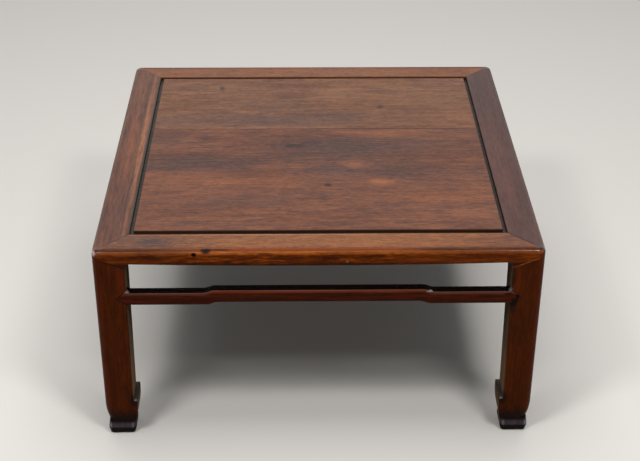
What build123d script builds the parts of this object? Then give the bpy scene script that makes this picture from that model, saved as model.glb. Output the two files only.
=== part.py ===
from build123d import *
import os

# A square kang table with a mitred frame, a floating panel in a sunk channel, four legs that meet
# the frame flush in three-way mitres, humpback stretchers and inward-turned hoof feet.
# X runs left to right, Y front to back and Z up, from the floor below the middle of the top.
# Lengths are in millimetres. An "inset" is measured inwards from an outer face of the table.

# ---------------------------------------------------------------------------------------------
# Driving dimensions
# ---------------------------------------------------------------------------------------------

# The whole table
width = 700.0
depth = 703.0
height = 355.0
corner_radius = 11.0  # the four outer corners, seen from above
arris_radius = 7.5  # the outer edge of the top

# Frame of the top: two tenoned rails in front and behind, two mortised rails at the sides
frame_width = 53.5
rail_height = 26.5  # at mid length
rail_arch = 3.5  # the underside rises this much from mid length to the legs
cove_radius = 8.0  # hollow corner where the underside turns down into a leg
mitre_drop = 10.5  # from the top down to the point where the three mitres meet
inner_arris = 1.8  # the inner edge of the frame, beside the channel
lower_arris = 1.2  # the lower outer edge of the frame

# Panel of two boards, raised to the level of the frame, with a tongue all round
panel_thickness = 12.0
channel_depth = 5.0
front_channel = 10.5
back_channel = 6.5
side_channel = 6.0
field_arris = 1.0
groove_depth = 8.0
panel_play = 1.5  # room for the panel to swell in the groove
seam_offset = 71.5  # the seam of the two boards lies this far behind the middle
seam_tongue_width = 5.0
seam_tongue_thickness = 3.5
seam_tongue_cover = 3.5  # wood left above the seam's tongue
seam_stop = 12.0  # the seam's tongue stops this far from the ends of the field
seam_ease = 0.4

# Transverse battens, slid into the panel and tenoned into the front and back rails
batten_spacing = 250.0
batten_width = 28.0
batten_recess = 2.0  # above the underside of the rails
dovetail_height = 4.0
dovetail_width = 21.0  # at the top of the ridge
dovetail_flare = 2.5  # the ridge is narrower by this much on each side at its root
batten_tenon_width = 18.0
batten_tenon_length = 14.0
batten_tenon_shoulder = 2.0  # above and below the tenon

# Legs
leg_side = 50.0  # square section under the rails
ankle_side = 47.2  # square section on the hoof
leg_arris = 2.0
ledge_height = 71.0  # the ledge on the two inner sides of a hoof
ledge_radius = 3.0
hoof_side = 53.2  # square section just under the ledge
undercut_height = 62.0  # the faces of the hoof turn inwards below this
hoof_arris = 1.5
neck_height = 24.0  # the hoof ends here, sunk into the pad
neck_outer = 5.8  # insets of the outer and inner faces of the hoof at its neck
neck_inner = 48.6
pad_height = 27.5
pad_outer = 2.0  # insets of the outer and inner faces of the pad at its belly
pad_inner = 48.2
belly_height = 11.0
belly_radius = 14.0
pad_corner = 8.0
pad_slope = 9.0  # degrees that its faces lean in above the belly
tuck_slope = 16.0  # degrees below it
sole_ease = 2.0

# Humpback stretchers, flush with the outer faces
stretcher_level = 257.6  # underside of the low ends
stretcher_height = 22.6
stretcher_thickness = 14.5
hump_rise = 4.5
hump_setback = 128.0  # from a leg to the middle of the step in the upper line
step_length = 19.5
flare_rise = 3.5  # the upper line turns up this much where it meets a leg
flare_run = 5.5
stretcher_arris = 1.8  # the two outer long edges

# Joints
joint_gap = 0.15  # beside a tenon
end_gap = 1.0  # beyond the end of a tenon
corner_tenon_inset = 28.0
corner_tenon_thickness = 7.0
corner_tenon_cover = 8.5  # wood left above the tenon
corner_tenon_end = 8.0  # wood left beyond the mortise's end
corner_tenon_wall = 2.0  # wood left beside the panel groove
head_tenon_inset = 10.0
head_tenon_thickness = 10.0
head_tenon_edge = 6.0  # from the tenon to the inner face of the leg
head_tenon_width = 16.0
head_tenon_cover = 9.0  # wood left above the long tenon
shoulder_length = 16.3  # the V-shaped shoulder of a stretcher runs this far into the leg
shoulder_depth = 6.0
shoulder_arris = 1.0
stretcher_tenon_thickness = 6.5
stretcher_tenon_shoulder = 4.0  # above and below the tenon
stretcher_tenon_wall = 3.0  # wood left between the two tenons in one leg

# ---------------------------------------------------------------------------------------------
# Levels and places that follow
# ---------------------------------------------------------------------------------------------

rail_underside = height - rail_height
rail_spring = rail_underside + rail_arch
ear_level = rail_spring - cove_radius
mitre_level = height - mitre_drop
panel_underside = height - panel_thickness
channel_floor = height - channel_depth
batten_underside = rail_underside + batten_recess
dovetail_top = panel_underside + dovetail_height

frame_front = -depth / 2 + frame_width
tongue_inset = frame_width - groove_depth + panel_play

corner_tenon_top = height - corner_tenon_cover
corner_tenon_bottom = corner_tenon_top - corner_tenon_thickness
corner_tenon_inner = frame_width - groove_depth - corner_tenon_wall

stretcher_top = stretcher_level + stretcher_height
step_lean = stretcher_height * hump_rise / step_length


def leg_inset(level):
    """Inset of the tapering inner face of a leg at a level."""
    rise = (level - ledge_height) / (ear_level - ledge_height)
    return ankle_side + (leg_side - ankle_side) * rise


# ---------------------------------------------------------------------------------------------
# Joints, each drawn once: plain for the tenon, with gaps for its mortise
# ---------------------------------------------------------------------------------------------


def corner_block(sides, fronts, levels, columns=2, rows=2, mode=Mode.ADD):
    """A block at each corner of the table, between two insets from the side and the front.

    One row leaves out the back corners, and one column leaves out the right ones."""
    x_pitch = width - sum(sides)
    y_pitch = depth - sum(fronts)
    first = (-x_pitch / 2 * (2 - columns), -y_pitch / 2 * (2 - rows))
    with BuildSketch(Plane.XY.offset(levels[0])) as blocks:
        with Locations(first):
            with GridLocations(x_pitch, y_pitch, columns, rows):
                Rectangle(sides[1] - sides[0], fronts[1] - fronts[0])
    extrude(blocks.sketch, amount=levels[1] - levels[0], mode=mode)


def corner_tenon(gap, end, **where):
    """Blind tenon of a front or back rail, level, across the mitre into a side rail."""
    sides = (corner_tenon_end + end_gap - end, corner_tenon_inner)
    fronts = (corner_tenon_inset - gap, corner_tenon_inner + gap)
    corner_block(sides, fronts, (corner_tenon_bottom, corner_tenon_top + gap), **where)


def long_head_tenon(gap, end, **where):
    """Tenon on the head of a leg, up into the front or back rail."""
    inner = leg_side - head_tenon_edge
    sides = (inner - head_tenon_width - gap, inner + gap)
    fronts = (head_tenon_inset - gap, head_tenon_inset + head_tenon_thickness + gap)
    levels = (ear_level - end, height - head_tenon_cover - end_gap + end)
    corner_block(sides, fronts, levels, **where)


def short_head_tenon(gap, end, **where):
    """Tenon on the head of a leg, up into the side rail as far as the corner tenon."""
    inner = leg_side - head_tenon_edge
    sides = (head_tenon_inset - gap, head_tenon_inset + head_tenon_thickness + gap)
    fronts = (inner - head_tenon_width - gap, inner + gap)
    levels = (ear_level - end, corner_tenon_bottom - end_gap + end)
    corner_block(sides, fronts, levels, **where)


def stretcher_ends(length, face, gap, end):
    """V-shaped shoulders and tenons at both ends of a stretcher that runs along X."""
    tenon_bottom = stretcher_level + stretcher_tenon_shoulder
    tenon_top = stretcher_top - stretcher_tenon_shoulder
    tenon_back = shoulder_depth + stretcher_tenon_thickness
    tenon_tip = length / 2 - tenon_back - stretcher_tenon_wall - end_gap + end
    tenon_root = length / 2 - leg_side - end_gap
    low_end = length / 2 - leg_inset(stretcher_level)
    high_end = length / 2 - leg_inset(stretcher_top + flare_rise)
    with BuildPart() as ends:
        with BuildSketch(Plane.XZ.offset(face)):
            for side in (-1, 1):
                Polygon(
                    (side * low_end, stretcher_level),
                    (side * (low_end + shoulder_length), stretcher_level + stretcher_height / 2),
                    (side * high_end, stretcher_top + flare_rise),
                    align=None,
                )
        extrude(amount=-shoulder_depth)
        with BuildSketch(Plane.XZ.offset(face - shoulder_depth)):
            for side in (-1, 1):
                with Locations((side * (tenon_root + tenon_tip) / 2, tenon_bottom)):
                    Rectangle(
                        tenon_tip - tenon_root,
                        tenon_top + gap - tenon_bottom,
                        align=(Align.CENTER, Align.MIN),
                    )
        extrude(amount=-stretcher_tenon_thickness - gap)
    return ends.part


def dovetail_sketch(gap):
    """Sections of the two dovetailed ridges on the battens."""
    with BuildSketch(Plane.XZ) as ridges:
        with GridLocations(batten_spacing, 0, 2, 1):
            Polygon(
                (-dovetail_width / 2 + dovetail_flare - gap, panel_underside),
                (dovetail_width / 2 - dovetail_flare + gap, panel_underside),
                (dovetail_width / 2 + gap, dovetail_top + gap),
                (-dovetail_width / 2 - gap, dovetail_top + gap),
                align=None,
            )
    return ridges.sketch


# ---------------------------------------------------------------------------------------------
# The outer form, to which the assembled frame and legs are rounded over
# ---------------------------------------------------------------------------------------------

with BuildPart() as envelope:
    with BuildSketch():
        RectangleRounded(width, depth, corner_radius)
    extrude(amount=height)
    fillet(envelope.faces().sort_by(Axis.Z)[-1].edges(), arris_radius)


# ---------------------------------------------------------------------------------------------
# Frame rails
# ---------------------------------------------------------------------------------------------


def frame_member(length, face):
    """A rail along X with its outer face at Y = -face, mitred at both ends, without tenons."""
    leg_line = length / 2 - leg_side
    arch_end = leg_line - cove_radius
    inner_face = -face + frame_width
    with BuildPart() as member:
        # Elevation: mitres down onto the legs, coves and a shallow arch between them
        with BuildSketch(Plane.XZ.offset(face)):
            with BuildLine():
                Polyline(
                    (-leg_line, ear_level),
                    (-length / 2, mitre_level),
                    (-length / 2, height),
                    (length / 2, height),
                    (length / 2, mitre_level),
                    (leg_line, ear_level),
                )
                arch = ThreePointArc(
                    (-arch_end, rail_spring), (0, rail_underside), (arch_end, rail_spring)
                )
                TangentArc(arch @ 0, (-leg_line, ear_level), tangent=-(arch % 0))
                TangentArc(arch @ 1, (leg_line, ear_level), tangent=arch % 1)
            make_face()
        extrude(amount=-frame_width)
        fillet(member.edges().group_by(Axis.Z)[-1].sort_by(Axis.Y)[-1], inner_arris)
        outline = member.faces().sort_by(Axis.Y)[0].edges()
        chamfer(outline.filter_by(GeomType.CIRCLE), lower_arris)
        # Groove for the panel in the inner face
        with BuildSketch(Plane.YZ.offset(-length / 2)):
            with Locations((inner_face, panel_underside)):
                Rectangle(
                    groove_depth,
                    channel_floor + joint_gap - panel_underside,
                    align=(Align.MAX, Align.MIN),
                )
        extrude(amount=length, mode=Mode.SUBTRACT)
        # Plan: mitres between the rails
        with BuildSketch(Plane.XY.offset(ear_level)):
            Polygon(
                (-length / 2, -face),
                (length / 2, -face),
                (length / 2 - frame_width, inner_face),
                (-length / 2 + frame_width, inner_face),
                align=None,
            )
        extrude(amount=height - ear_level, mode=Mode.INTERSECT)
    return member.part


with BuildPart() as front_rail:
    add(frame_member(width, depth / 2))
    add(envelope.part, mode=Mode.INTERSECT)
    corner_tenon(0, 0, rows=1)
    long_head_tenon(joint_gap, end_gap, mode=Mode.SUBTRACT)
    with BuildSketch(Plane.XY.offset(batten_underside + batten_tenon_shoulder)):
        with Locations((0, frame_front)):
            with GridLocations(batten_spacing, 0, 2, 1):
                Rectangle(
                    batten_tenon_width + 2 * joint_gap,
                    2 * (batten_tenon_length + end_gap),
                )
    extrude(
        amount=panel_underside - batten_underside - 2 * batten_tenon_shoulder + joint_gap,
        mode=Mode.SUBTRACT,
    )

with BuildPart() as back_rail:
    mirror(front_rail.part, about=Plane.XZ)

with BuildPart() as left_rail:
    add(frame_member(depth, width / 2), rotation=(0, 0, -90))
    add(envelope.part, mode=Mode.INTERSECT)
    corner_tenon(joint_gap, end_gap, mode=Mode.SUBTRACT)
    short_head_tenon(joint_gap, end_gap, mode=Mode.SUBTRACT)

with BuildPart() as right_rail:
    mirror(left_rail.part, about=Plane.YZ)


# ---------------------------------------------------------------------------------------------
# Panel boards
# ---------------------------------------------------------------------------------------------

tongue_length = width - 2 * tongue_inset
field_length = width - 2 * (frame_width + side_channel)


def field_edges(board):
    """Edges round the field of a board, the one at the seam first."""
    edges = board.faces().sort_by(Axis.Z)[-1].edges()
    return edges.sort_by(lambda edge: abs(edge.center().Y - seam_offset))


def panel_board(tongue_edge, field_edge):
    """A board from the seam to the groove, with its field raised above the tongue."""
    with BuildPart() as board:
        for length, edge, thickness in (
            (tongue_length, tongue_edge, panel_thickness - channel_depth),
            (field_length, field_edge, panel_thickness),
        ):
            with BuildSketch(Plane.XY.offset(panel_underside)):
                with Locations((0, (seam_offset + edge) / 2)):
                    Rectangle(length, abs(edge - seam_offset))
            extrude(amount=thickness)
        chamfer(field_edges(board)[0], seam_ease)
        fillet(field_edges(board)[1:], field_arris)
        for ridge in dovetail_sketch(joint_gap).faces():
            extrude(ridge, amount=depth, both=True, mode=Mode.SUBTRACT)
    return board.part


def seam_tongue(gap, mode):
    """Stopped tongue of the front board in the seam, or the groove for it."""
    with BuildSketch(Plane.XY.offset(height - seam_tongue_cover + gap)) as tongue:
        with Locations((0, seam_offset)):
            Rectangle(
                field_length - 2 * seam_stop + 2 * gap,
                seam_tongue_width + gap,
                align=(Align.CENTER, Align.MIN),
            )
    extrude(tongue.sketch, amount=-seam_tongue_thickness - gap, mode=mode)


with BuildPart() as front_panel_board:
    add(
        panel_board(
            -depth / 2 + tongue_inset,
            -depth / 2 + frame_width + front_channel,
        )
    )
    seam_tongue(0, Mode.ADD)

with BuildPart() as back_panel_board:
    add(
        panel_board(
            depth / 2 - tongue_inset,
            depth / 2 - frame_width - back_channel,
        )
    )
    seam_tongue(joint_gap, Mode.SUBTRACT)


# ---------------------------------------------------------------------------------------------
# Battens
# ---------------------------------------------------------------------------------------------


def batten(ridge):
    """A batten under one dovetailed ridge, with a tenon at each end."""
    ridge_x = ridge.center().X
    span = -2 * frame_front
    with BuildPart() as bar:
        with BuildSketch(Plane.XZ):
            with Locations((ridge_x, batten_underside)):
                Rectangle(
                    batten_width,
                    panel_underside - batten_underside,
                    align=(Align.CENTER, Align.MIN),
                )
        extrude(amount=span / 2, both=True)
        extrude(ridge, amount=span / 2 - end_gap, both=True)
        with BuildSketch(Plane.XY.offset(batten_underside + batten_tenon_shoulder)):
            with Locations((ridge_x, 0)):
                Rectangle(batten_tenon_width, span + 2 * batten_tenon_length)
        extrude(amount=panel_underside - batten_underside - 2 * batten_tenon_shoulder)
    return bar.part


ridges = dovetail_sketch(0).faces().sort_by(Axis.X)

with BuildPart() as left_batten:
    add(batten(ridges[0]))

with BuildPart() as right_batten:
    add(batten(ridges[1]))


# ---------------------------------------------------------------------------------------------
# Legs
# ---------------------------------------------------------------------------------------------


def square_on(outline):
    """A form with the same outline from the front and from the side, cut from a square block."""
    with BuildPart() as form:
        with BuildSketch(Plane.XZ.offset(depth / 2)):
            outline(width / 2)
        extrude(amount=-hoof_side)
        with BuildSketch(Plane.YZ.offset(-width / 2)):
            outline(depth / 2)
        extrude(amount=hoof_side, mode=Mode.INTERSECT)
    return form.part


def shaft_outline(face):
    """The shaft of a leg from its outer face at -face, up to the mitre."""
    Polygon(
        (-face, undercut_height),
        (-face, mitre_level),
        (-face + leg_side, ear_level),
        (-face + leg_inset(undercut_height), undercut_height),
        align=None,
    )


def hoof_outline(face):
    """A hoof from its outer face at -face: upright below the ledge, then drawn in to its neck."""
    outer_neck = (-face + neck_outer, neck_height)
    inner_neck = (-face + neck_inner, neck_height)
    with BuildLine() as outline:
        Polyline(
            (-face, undercut_height),
            (-face, ledge_height),
            (-face + hoof_side, ledge_height),
            (-face + hoof_side, undercut_height),
        )
        TangentArc((-face, undercut_height), outer_neck, tangent=(0, -1))
        TangentArc((-face + hoof_side, undercut_height), inner_neck, tangent=(0, -1))
        Line(outer_neck, inner_neck)
    make_face(outline.edges())


def uprights(form):
    """Rising edges of a form square on, from the outer corner of the table inwards."""
    edges = form.edges().filter_by(Plane.XY, reverse=True)
    return edges.sort_by(Axis((0, 0, 0), (1, 1, 0)))


with BuildPart() as hoof:
    add(square_on(hoof_outline))
    fillet(uprights(hoof)[:2], corner_radius)
    fillet(uprights(hoof)[4:], hoof_arris)
    fillet(hoof.faces().sort_by(Axis.Z)[-1].edges(), ledge_radius)

with BuildPart() as pad:
    pad_middle = (pad_outer + pad_inner) / 2
    with BuildSketch(Plane.XY.offset(belly_height)) as belly:
        with Locations((pad_middle - width / 2, pad_middle - depth / 2)):
            RectangleRounded(pad_inner - pad_outer, pad_inner - pad_outer, pad_corner)
    extrude(belly.sketch, amount=pad_height - belly_height, taper=pad_slope)
    extrude(belly.sketch, amount=-belly_height, taper=tuck_slope)
    fillet(pad.edges().filter_by_position(Axis.Z, belly_height, belly_height), belly_radius)
    chamfer(pad.faces().sort_by(Axis.Z)[0].edges(), sole_ease)

with BuildPart() as front_left_leg:
    add(square_on(shaft_outline))
    upright_edges = front_left_leg.edges().sort_by(Edge.length)[-4:]
    fillet(upright_edges.sort_by(Axis((0, 0, 0), (1, 1, 0)))[1:], leg_arris)
    add(hoof.part)
    add(pad.part)
    add(envelope.part, mode=Mode.INTERSECT)
    long_head_tenon(0, 0, columns=1, rows=1)
    short_head_tenon(0, 0, columns=1, rows=1)
    add(stretcher_ends(width, depth / 2, joint_gap, end_gap), mode=Mode.SUBTRACT)
    add(
        stretcher_ends(depth, width / 2, joint_gap, end_gap),
        rotation=(0, 0, -90),
        mode=Mode.SUBTRACT,
    )

with BuildPart() as front_right_leg:
    mirror(front_left_leg.part, about=Plane.YZ)

with BuildPart() as back_left_leg:
    mirror(front_left_leg.part, about=Plane.XZ)

with BuildPart() as back_right_leg:
    mirror(back_left_leg.part, about=Plane.YZ)


# ---------------------------------------------------------------------------------------------
# Stretchers
# ---------------------------------------------------------------------------------------------


def hump_line(start, level, step):
    """One long line of a stretcher: low ends and a raised middle, joined by soft steps."""
    low_end = step + step_length / 2
    high_end = step - step_length / 2
    for side in (-1, 1):
        middle = (side * step, level + hump_rise / 2)
        Line((side * start, level), (side * low_end, level))
        TangentArc((side * low_end, level), middle, tangent=(-side, 0))
        TangentArc((side * high_end, level + hump_rise), middle, tangent=(side, 0))
    Line((-high_end, level + hump_rise), (high_end, level + hump_rise))


def eased_ends(length, face):
    """The ends of a stretcher, with the slanting edges of the shoulders rounded."""
    with BuildPart() as ends:
        add(stretcher_ends(length, face, 0, 0))
        outlines = ends.faces().group_by(Axis.Y)[0].edges()
        fillet(outlines.sort_by(lambda edge: abs(edge.center().X))[-4:], shoulder_arris)
    return ends.part


def humpback_stretcher(length, face):
    """A stretcher along X between two legs, with its outer face at Y = -face."""
    step = length / 2 - leg_side - hump_setback
    low_end = length / 2 - leg_inset(stretcher_level)
    high_end = length / 2 - leg_inset(stretcher_top + flare_rise)
    flare_start = high_end - flare_run
    with BuildPart() as bar:
        with BuildSketch(Plane.XZ.offset(face)):
            with BuildLine():
                hump_line(low_end, stretcher_level, step - step_lean)
                hump_line(flare_start, stretcher_top, step)
                for side in (-1, 1):
                    flare_foot = (side * flare_start, stretcher_top)
                    flare_tip = (side * high_end, stretcher_top + flare_rise)
                    TangentArc(flare_foot, flare_tip, tangent=(side, 0))
                    Line((side * low_end, stretcher_level), flare_tip)
            make_face()
        extrude(amount=-stretcher_thickness)
        middle = stretcher_level + stretcher_height / 2
        long_edges = bar.faces().sort_by(Axis.Y)[0].edges().filter_by(
            lambda edge: abs(edge.center().Z - middle) > stretcher_height / 4
        )
        fillet(long_edges, stretcher_arris)
        add(eased_ends(length, face))
    return bar.part


with BuildPart() as front_stretcher:
    add(humpback_stretcher(width, depth / 2))

with BuildPart() as back_stretcher:
    mirror(front_stretcher.part, about=Plane.XZ)

with BuildPart() as left_stretcher:
    add(humpback_stretcher(depth, width / 2), rotation=(0, 0, -90))

with BuildPart() as right_stretcher:
    mirror(left_stretcher.part, about=Plane.YZ)


# ---------------------------------------------------------------------------------------------
# Export
# ---------------------------------------------------------------------------------------------

pieces = {
    "front_rail": front_rail,
    "back_rail": back_rail,
    "left_rail": left_rail,
    "right_rail": right_rail,
    "front_panel_board": front_panel_board,
    "back_panel_board": back_panel_board,
    "left_batten": left_batten,
    "right_batten": right_batten,
    "front_left_leg": front_left_leg,
    "front_right_leg": front_right_leg,
    "back_left_leg": back_left_leg,
    "back_right_leg": back_right_leg,
    "front_stretcher": front_stretcher,
    "back_stretcher": back_stretcher,
    "left_stretcher": left_stretcher,
    "right_stretcher": right_stretcher,
}

os.makedirs("parts", exist_ok=True)
for name, piece in pieces.items():
    piece.part.label = name
    export_step(piece.part, f"parts/{name}.step")
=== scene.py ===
"""A square kang table, dressed as in its photograph.

Every shape is the CAD frame's own. This script gives each node its wood, with the figure, colour
and wear of that piece, and sets up the floor, the lights and the camera. Lengths are in metres,
and places are in the table's own coordinates: x to the right, y to the back, z up from the floor.
"""

import math
from typing import NamedTuple

import bpy
from mathutils import Matrix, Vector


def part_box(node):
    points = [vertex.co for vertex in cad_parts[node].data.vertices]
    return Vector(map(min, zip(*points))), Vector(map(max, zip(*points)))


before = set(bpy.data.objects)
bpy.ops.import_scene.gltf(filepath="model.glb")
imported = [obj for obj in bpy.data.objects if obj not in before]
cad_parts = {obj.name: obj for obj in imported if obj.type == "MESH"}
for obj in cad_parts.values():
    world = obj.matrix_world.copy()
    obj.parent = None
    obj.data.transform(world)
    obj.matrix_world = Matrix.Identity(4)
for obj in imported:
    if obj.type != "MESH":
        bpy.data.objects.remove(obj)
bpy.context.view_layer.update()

# Sizes read from the frame
rail_low, rail_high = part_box("left_rail")
back_board_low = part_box("back_panel_board")[0]
WIDTH = -2 * rail_low.x
DEPTH = -2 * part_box("front_rail")[0].y
HEIGHT = rail_high.z
FRONT = -DEPTH / 2
FRAME_WIDTH = rail_high.x - rail_low.x
EAR_LEVEL = rail_low.z  # where the mitre between frame and leg ends, at the leg's inner corner
SEAM = back_board_low.y  # where the two boards meet
PANEL_UNDERSIDE = back_board_low.z

# Sizes inside the pieces
LEG_SIDE = 0.050
CHANNEL_DEPTH = 0.005
MITRE_LEVEL = HEIGHT - 0.0105  # where the same mitre starts, at the leg's outer corner
RAIL_SPRING = 0.332  # underside of a rail beside a leg
SHOULDER_TIP = (0.0332, 0.2689)  # inset and height of the point of a stretcher's V
SHOULDER_SLOPES = (0.908, 0.693)  # of the upper and the lower edge of the V
HUMP_RISE = 0.0045
HUMP_STEP = (0.16825, 0.18775)  # insets of the two ends of the step up to the hump
STRETCHER_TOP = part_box("front_stretcher")[1].z - HUMP_RISE  # at its low ends
LEDGE_HEIGHT = 0.071  # top of a hoof
PAD_HEIGHT = 0.0275


# ---------------------------------------------------------------------------------------------
# Nodes
# ---------------------------------------------------------------------------------------------


def srgb(red, green, blue):
    """A display colour, 0 to 255, as the linear colour that a shader takes."""
    levels = [
        c / 255 / 12.92 if c <= 10 else ((c / 255 + 0.055) / 1.055) ** 2.4 for c in (red, green, blue)
    ]
    return (*levels, 1.0)


class Nodes:
    """Makes and links the nodes of a material or of the world."""

    def __init__(self, owner):
        owner.use_nodes = True
        self.tree = owner.node_tree
        self.tree.nodes.clear()

    def node(self, kind, **settings):
        made = self.tree.nodes.new(kind)
        for key, value in settings.items():
            setattr(made, key, value)
        return made

    def put(self, socket, value):
        """Link another node's output to a socket, or set the socket's own value."""
        if isinstance(value, bpy.types.NodeSocket):
            self.tree.links.new(value, socket)
        else:
            socket.default_value = value

    def math(self, operation, *values, clamp=False):
        made = self.node("ShaderNodeMath", operation=operation, use_clamp=clamp)
        for socket, value in zip(made.inputs, values):
            self.put(socket, value)
        return made.outputs[0]

    def vector(self, operation, *values, output="Vector"):
        made = self.node("ShaderNodeVectorMath", operation=operation)
        for socket, value in zip(made.inputs, values):
            self.put(socket, value)
        return made.outputs[output]

    def parts(self, vector):
        made = self.node("ShaderNodeSeparateXYZ")
        self.put(made.inputs[0], vector)
        return list(made.outputs)

    def join(self, x, y, z):
        made = self.node("ShaderNodeCombineXYZ")
        for socket, value in zip(made.inputs, (x, y, z)):
            self.put(socket, value)
        return made.outputs[0]

    def noise(self, vector, scale, detail, roughness=0.5, output="Fac"):
        """Noise about 0.5. Scale is the number of cells to the metre along each axis."""
        made = self.node("ShaderNodeTexNoise")
        self.put(made.inputs["Vector"], self.vector("MULTIPLY", vector, scale))
        self.put(made.inputs["Scale"], 1.0)
        self.put(made.inputs["Detail"], detail)
        self.put(made.inputs["Roughness"], roughness)
        return made.outputs[output]

    def ease(self, value, low, high, start=0.0, end=1.0, form="SMOOTHSTEP"):
        """Start below low, end above high, and a step between that is smooth or LINEAR."""
        made = self.node("ShaderNodeMapRange", interpolation_type=form)
        for socket, given in zip(made.inputs, (value, low, high, start, end)):
            self.put(socket, given)
        return made.outputs["Result"]

    def band(self, value, low, start, end, high, strength=1.0):
        """Strength from start to end, easing to 0 at low and at high."""
        rise = self.ease(value, low, start, 0.0, strength)
        return self.math("MULTIPLY", rise, self.ease(value, end, high, 1.0, 0.0))

    def mix(self, factor, first, second, blend="MIX"):
        made = self.node("ShaderNodeMix", data_type="RGBA", blend_type=blend)
        made.clamp_factor = True
        self.put(made.inputs[0], factor)
        self.put(made.inputs[6], first)
        self.put(made.inputs[7], second)
        return made.outputs[2]

    def tinted(self, colour, tint):
        """A colour times a tint, which is a factor for red, green and blue."""
        return self.mix(1.0, colour, tint, "MULTIPLY")

    def backdrop_rays(self):
        """1 for rays that show the backdrop, directly or by a reflection, 0 for rays that light."""
        rays = self.node("ShaderNodeLightPath").outputs
        shown = self.math("MAXIMUM", rays["Is Camera Ray"], rays["Is Glossy Ray"])
        return self.math("MAXIMUM", shown, rays["Is Transmission Ray"])


class Shading(Nodes):
    """The nodes of a new material, s below, with what the wear of a wood reads and sets."""

    def __init__(self, name):
        self.material = bpy.data.materials.new(name)
        super().__init__(self.material)
        coordinates = self.node("ShaderNodeTexCoord").outputs
        self.place = coordinates["Object"]
        self.facing = coordinates["Normal"]
        self.dull = None  # 1 where the varnish and its reflections are gone
        self.shine = None  # added varnish
        self.dust = 0.0


# ---------------------------------------------------------------------------------------------
# Wood
# ---------------------------------------------------------------------------------------------

SWERVE = 0.018  # how far the grain wanders
PORE = srgb(28, 12, 6)
DUST_TINT = srgb(220, 205, 170)


class Tones(NamedTuple):
    """The colours of a wood: those of its streaks, and that of its late wood and veins."""

    dark: tuple
    light: tuple
    late: tuple


class Polish(NamedTuple):
    """How a surface reflects."""

    roughness: float
    upright: float  # reflectance of upright faces
    level: float  # and of faces that look up
    coat: float  # varnish
    coat_roughness: float


class Mark(NamedTuple):
    """A patch of colour in the wood."""

    place: tuple
    reach: tuple  # half lengths along x, y and z
    softness: float
    colour: tuple
    strength: float
    knot: bool = False  # a knot bends the growth rings


class ChipOrPaintedLight(NamedTuple):
    """A sharper patch that lies over the wear. Some are damage and dark gaps, some painted highlights
    and painted shade.
    """

    place: tuple
    reach: tuple
    colour: tuple
    strength: float


def grain_space(s, along, offset):
    """The place in the wood, with its first axis along the grain."""
    x, y, z = s.parts(s.place)
    turned = {"X": (x, y, z), "Y": (y, x, z), "Z": (z, x, y)}[along]
    return s.vector("ADD", s.join(*turned), offset)


def cells(along, across, straight=1.0):
    """The scale of a noise in grain space. The straighter the grain, the longer its cells."""
    return (along / straight, across, across)


def figure(s, grain, pith, ring, knots, straight):
    """Late wood of the growth rings, streaks, veins, fibres and pores, each from 0 to 1."""
    swing = s.noise(grain, cells(3.5, 12), 3.0, output="Color")
    swing = s.vector("SUBTRACT", swing, (0.5, 0.5, 0.5))
    swerve = SWERVE / straight
    bent = s.vector("ADD", grain, s.vector("MULTIPLY", swing, (0, swerve, swerve)))
    across, up = s.parts(bent)[1:]
    square = s.math(
        "ADD",
        s.math("POWER", s.math("SUBTRACT", across, pith[0]), 2.0),
        s.math("POWER", s.math("SUBTRACT", up, pith[1]), 2.0),
    )
    radius = s.math("SQRT", square)
    for knot in knots:
        radius = s.math("ADD", radius, s.math("MULTIPLY", knot, ring * 3))
    turn = s.math("FRACT", s.math("DIVIDE", radius, ring))
    late = s.band(turn, 0.15, 0.8, 0.86, 1.0)
    streak = s.noise(bent, cells(14, 85, straight), 5.0, 0.7)
    vein = s.noise(bent, cells(45, 230, straight), 3.0, 0.7)
    fibre = s.noise(bent, cells(100, 380, straight), 2.0, 0.7)
    pore = s.ease(s.noise(grain, cells(70, 1500), 1.0), 0.62, 0.74)
    return late, streak, vein, fibre, pore


def blot(s, place, reach, softness, ragged=1.0):
    """1 inside an uneven patch with the given half lengths, 0 outside."""
    away = s.vector("DIVIDE", s.vector("SUBTRACT", s.place, place), reach)
    uneven = s.math("MULTIPLY", s.patchiness, ragged)
    spread = s.math("ADD", s.vector("LENGTH", away, output="Value"), uneven)
    return s.ease(spread, 1.0 - softness, 1.0 + softness, 1.0, 0.0)


def finish_wood(s, colour, relief, fibre, cloud, polish):
    """The shader of a wood, with its varnish, its dust and a fine relief."""
    rough = s.math("ADD", s.ease(fibre, 0.2, 0.8, -0.05, 0.07), polish.roughness)
    rough = s.math("ADD", rough, s.ease(cloud, 0.3, 0.7, -0.04, 0.05))
    reflectance = facing_up(s, 0.6, 0.95, polish.upright, polish.level)
    coat = polish.coat
    if s.dull is not None:
        reflectance = s.math("MULTIPLY", reflectance, s.math("SUBTRACT", 1.0, s.dull))
        coat = s.math("SUBTRACT", coat, s.dull, clamp=True)
    if s.shine is not None:
        coat = s.math("ADD", coat, s.shine)
    bump = s.node("ShaderNodeBump")
    s.put(bump.inputs["Strength"], 0.45)
    s.put(bump.inputs["Distance"], 0.0005)
    s.put(bump.inputs["Height"], relief)
    shader = s.node("ShaderNodeBsdfPrincipled")
    for socket, value in (
        ("Base Color", colour),
        ("Roughness", rough),
        ("IOR", 1.5),
        ("Specular IOR Level", reflectance),
        ("Coat Weight", coat),
        ("Coat Roughness", polish.coat_roughness),
        ("Sheen Weight", s.dust),
        ("Sheen Roughness", 0.3),
        ("Sheen Tint", DUST_TINT),
        ("Normal", bump.outputs["Normal"]),
    ):
        s.put(shader.inputs[socket], value)
    out = s.node("ShaderNodeOutputMaterial")
    s.put(out.inputs["Surface"], shader.outputs["BSDF"])
    return s.material


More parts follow.
